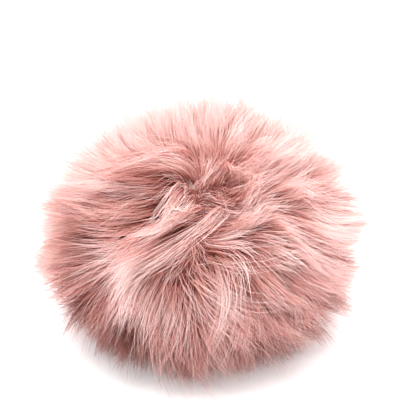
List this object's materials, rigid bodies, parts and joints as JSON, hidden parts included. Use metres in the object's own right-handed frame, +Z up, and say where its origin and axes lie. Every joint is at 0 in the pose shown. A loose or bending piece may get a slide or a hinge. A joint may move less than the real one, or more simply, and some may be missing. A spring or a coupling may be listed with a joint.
{
  "type": "faux-fur pom pom with a press stud",
  "caption": "Flattened ball of dusty-pink long-pile imitation fur that rests on its pile, with a metal press stud sewn to its base.",
  "frame": {"origin": "on the floor, under the middle of the fur ball's box", "axes": "+Z up from the base with the press stud, -Y towards the front, +X to the right seen from the front"},
  "size_m": [0.12, 0.117, 0.082],
  "materials": {
    "fur": "long combed acrylic pile, dusty pink, paler at its tips",
    "cloth_edge": "pale pink knitted backing, turned and stitched",
    "dark_metal": "blackened, satin",
    "bright_brass": "polished",
    "dark_wire": "blackened spring wire"
  },
  "bodies": {
    "root": {"fur_ball": "fur", "gathered_edge": "cloth_edge", "stud_plate": "dark_metal", "stud_ball": "bright_brass", "spring_wire_left": "dark_wire", "spring_wire_right": "dark_wire"}
  },
  "joints": []
}
